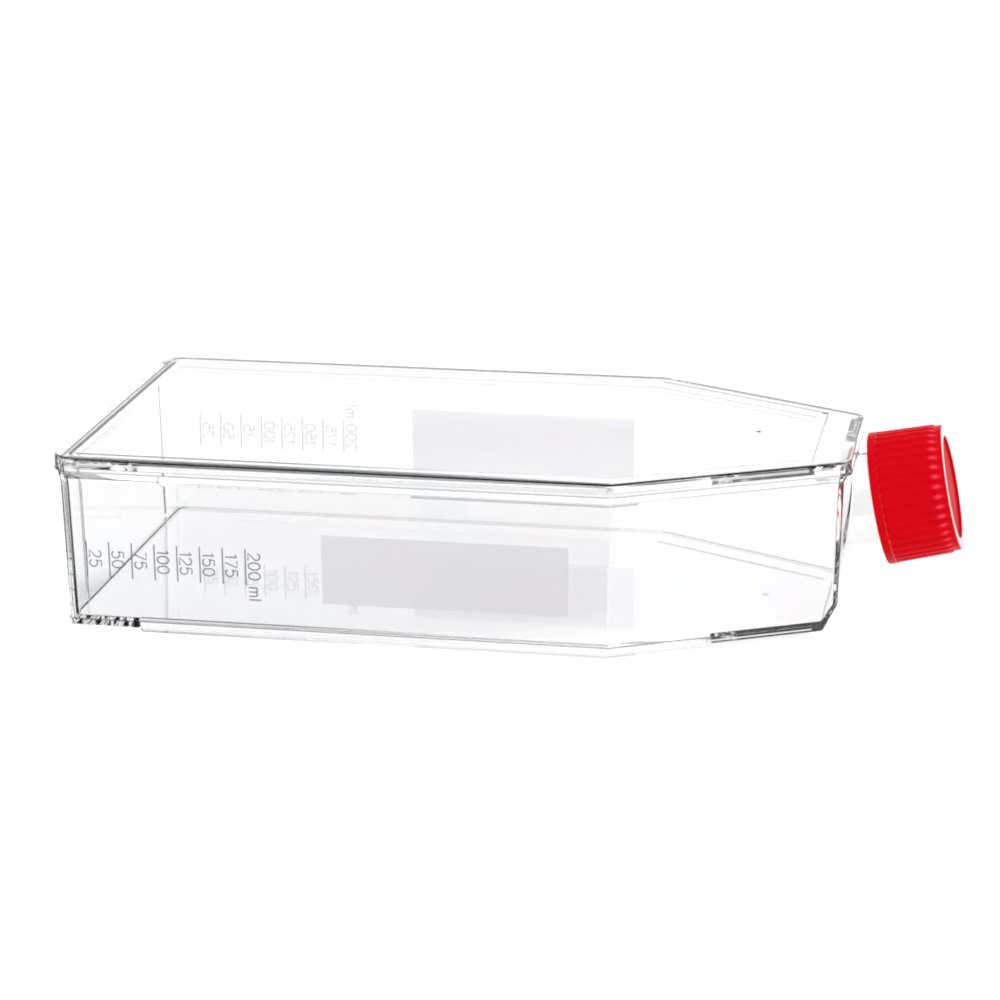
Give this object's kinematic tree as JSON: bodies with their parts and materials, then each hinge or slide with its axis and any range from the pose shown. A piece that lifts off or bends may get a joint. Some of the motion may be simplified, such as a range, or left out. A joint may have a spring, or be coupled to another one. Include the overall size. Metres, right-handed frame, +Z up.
{
  "type": "cell culture flask",
  "caption": "Clear tissue culture flask with tapered shoulders, a canted neck, a stacking rim and a removable red screw cap, for growing cells in a layer on its floor.",
  "frame": {"origin": "centre of the whole length and width, on the plane that the two feet stand on", "axes": "+X along the flask from the back wall to the cap, +Z up through the lid, +Y to the left seen from behind the back wall"},
  "size_m": [0.234, 0.1088, 0.0523],
  "materials": {
    "clear_polystyrene": "clear injection-moulded polystyrene, polished tool",
    "lid_polystyrene": "clear injection-moulded polystyrene, polished tool",
    "red_polyethylene": "red injection-moulded high-density polyethylene, semi-gloss"
  },
  "bodies": {
    "flask": {"flask_body": "clear_polystyrene", "top_plate": "lid_polystyrene"},
    "cap": {"screw_cap": "red_polyethylene"}
  },
  "joints": [
    {"name": "cap_lift", "type": "slide", "parent": "flask", "child": "cap", "axis": [0.9774, 0, 0.2113], "range_m": [0, 0.045]}
  ]
}
